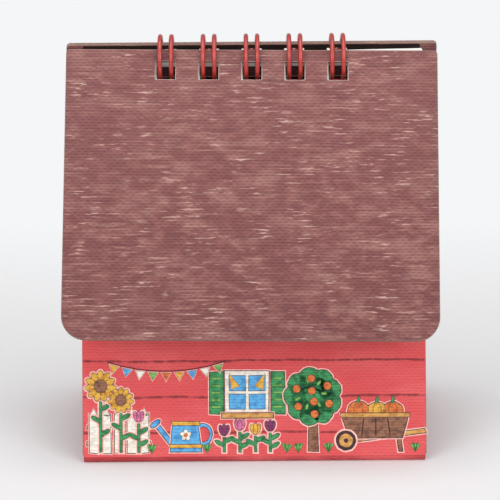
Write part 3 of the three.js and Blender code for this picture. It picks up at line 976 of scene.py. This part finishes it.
def month(first_day, days):
    """A page's drawing, whose first day falls in this column. The first column is red."""
    def draw(bm):
        printed(bm, 4, 0, BAND_HEIGHT, *BAND, "brown", 0, line=0)
        for day in range(days):
            column = (first_day + day) % 7
            row = (first_day + day) // 7
            number(bm, str(day + 1), COLUMN_FIRST + COLUMN * column, ROW_FIRST - ROW * row, NUMBER_SIZE,
                   "wall" if column == 0 else "outline")
        for row in range(ROW_COUNT):
            printed(bm, 4, 0, ROW_FIRST - RULE_DROP - ROW * row, *RULE, "brown", 0, line=0)
    return draw


def title(bm):
    """The title leaf's drawing: a tree and sunflowers in a brown frame."""
    printed(bm, 4, 0, 24, 56, 40.32, "brown", 0, line=0)
    printed(bm, 4, 0, 24, 54.8, 39.456, "cream", 1, line=0)
    fruit_tree(bm, 0, 8.0, 11, 9)
    for x in (-19, -13, 13, 19):
        sunflower(bm, x, 8.0, 11.0, 3.2)
    for x in (-16, -9, -5, 5, 9, 16):
        grass(bm, x, 8.0, tall=2.6)


def leaf(order):
    """The leaf at this place behind the cover. After the title, months of 30 and 31 days take turns."""
    node = "leaf_%d" % (order + 1)
    lean = COVER_LEAN + (FRONT_LEAN - COVER_LEAN) * (order + 1) / (LEAF_COUNT + 1)
    place = slope_place(middle(node), lean, 0 if order else TITLE_SKEW)
    page = month((2 * order + 1) % 7, 31 - order % 2) if order else title
    leaf_sheet(node, place)
    print_sheet(node + "_print", page, place, LEAF_THICKNESS / 2, LEAF_LENGTH, node + "_flap")


for order in range(LEAF_COUNT):
    leaf(order)


# The liners are the frame's own.

for name, node in frame["nodes"].items():
    if name.endswith("_liner"):
        node.data.materials.clear()
        # The rear panel's liner is painted dark as the shade in the gap over the cover.
        node.data.materials.append(SHADE_PAINTED_LINER if name == "rear_panel_liner" else LINER_PAPER)


# Stage, light and camera. The paper sweep's sizes are in millimetres, and a lamp's in metres and watts.

FLOOR = "F2F1F2"
BACKDROP = "F5F6F7"
# The stretch of floor behind the object over which its colour runs into the backdrop's.
BACKDROP_RUN = (10, 160)
SWEEP_SIDE = 2500
SWEEP_BACK = 1200
SWEEP_RADIUS = 600
SWEEP_WALL = 2000
SWEEP_STEPS = 16
ROOM_TONE = "F2F3F5"
ROOM_LIGHT = 0.38
ROOM_SEEN = "F4F5F6"
LAMP_AIM = Vector((0, 0, 0.04))
LAMPS = (
    ("left softbox", (-0.75, -0.95, 0.5), 0.9, 6.2),
    ("right softbox", (0.75, -0.9, 0.5), 0.9, 5.6),
    ("top softbox", (0, -0.1, 0.45), 0.4, 1.0),
)


def sweep():
    """Seamless white paper, flat under the object and curved up behind it."""
    bm = bmesh.new()

    def draw_out(edges, step):
        drawn = bmesh.ops.extrude_edge_only(bm, edges=edges)
        bmesh.ops.translate(bm, vec=step, verts=fresh(drawn, bmesh.types.BMVert))
        return fresh(drawn, bmesh.types.BMEdge)

    front = [bm.verts.new((x, -SWEEP_SIDE, 0)) for x in (-SWEEP_SIDE, SWEEP_SIDE)]
    edges = draw_out([bm.edges.new(front)], (0, SWEEP_SIDE + SWEEP_BACK, 0))
    spun = bmesh.ops.spin(bm, geom=edges, axis=(1, 0, 0), cent=(0, SWEEP_BACK, SWEEP_RADIUS),
                          angle=math.radians(90), steps=SWEEP_STEPS)
    draw_out([g for g in spun["geom_last"] if isinstance(g, bmesh.types.BMEdge)], (0, 0, SWEEP_WALL))
    bm.transform(Matrix.Scale(MM, 4))
    mesh = bpy.data.meshes.new("paper_sweep")
    bm.to_mesh(mesh)
    bm.free()
    for polygon in mesh.polygons:
        polygon.use_smooth = True
    # Matt background paper: near white, and it keeps the object's soft shadow in front of the run.
    material, tree = new_material("white background paper")
    shader = add(tree, "BsdfPrincipled", Base_Color=FLOOR, Roughness=0.95, Specular_IOR_Level=0.1)
    depth = add(tree, "SeparateXYZ", on_sheet(tree, "Object"), out="Y")
    behind = add(tree, "MapRange", depth, *BACKDROP_RUN)
    seen = add(tree, "Math", behind, add(tree, "LightPath", out="Is Camera Ray"), operation="MULTIPLY")
    white = add(tree, "Emission", BACKDROP, 1.0)
    add(tree, "OutputMaterial", add(tree, "MixShader", seen, shader, white))
    mesh.materials.append(material)
    piece = bpy.data.objects.new("paper_sweep", mesh)
    bpy.context.scene.collection.objects.link(piece)


def lamp(name, place, size, power):
    """A round softbox that faces the object."""
    data = bpy.data.lights.new(name, "AREA")
    data.shape = "DISK"
    data.size = size
    data.energy = power
    light = bpy.data.objects.new(name, data)
    light.location = place
    light.rotation_euler = (LAMP_AIM - light.location).to_track_quat("-Z", "Y").to_euler()
    bpy.context.scene.collection.objects.link(light)


def world():
    """A dim even room, which the camera and mirrors see as white."""
    made = bpy.data.worlds.new("studio")
    made.use_nodes = True
    tree = made.node_tree
    tree.nodes.clear()
    path = add(tree, "LightPath", out="Is Camera Ray").node.outputs
    mirrored = add(tree, "Math", path["Is Glossy Ray"], path["Is Transmission Ray"], operation="MAXIMUM")
    seen = add(tree, "Math", path["Is Camera Ray"], mirrored, operation="MAXIMUM")
    room = add(tree, "Background", ROOM_TONE, ROOM_LIGHT)
    white = add(tree, "Background", ROOM_SEEN, 1.0)
    add(tree, "OutputWorld", add(tree, "MixShader", seen, room, white))
    bpy.context.scene.world = made


def camera():
    """The fitted camera, raised on its arc, aimed and rolled."""
    data = bpy.data.cameras.new("camera")
    data.sensor_width = SENSOR_WIDTH
    data.lens = FOCAL_PIXELS / FRAME_PIXELS * SENSOR_WIDTH
    data.clip_start = CLIP_START * MM
    data.clip_end = CLIP_END * MM
    tilt = math.radians(CAMERA_ELEVATION)
    back = Vector((0, -math.cos(tilt), math.sin(tilt)))
    view = bpy.data.objects.new("camera", data)
    turn = (-back).to_track_quat("-Z", "Y").to_matrix().to_4x4()
    roll = Matrix.Rotation(math.radians(CAMERA_ROLL), 4, "Z")
    view.matrix_world = Matrix.Translation((AIM + CAMERA_DISTANCE * back) * MM) @ turn @ roll
    bpy.context.scene.collection.objects.link(view)
    bpy.context.scene.camera = view


sweep()
world()
for settings in LAMPS:
    lamp(*settings)
camera()
bpy.context.scene.view_settings.view_transform = "Standard"
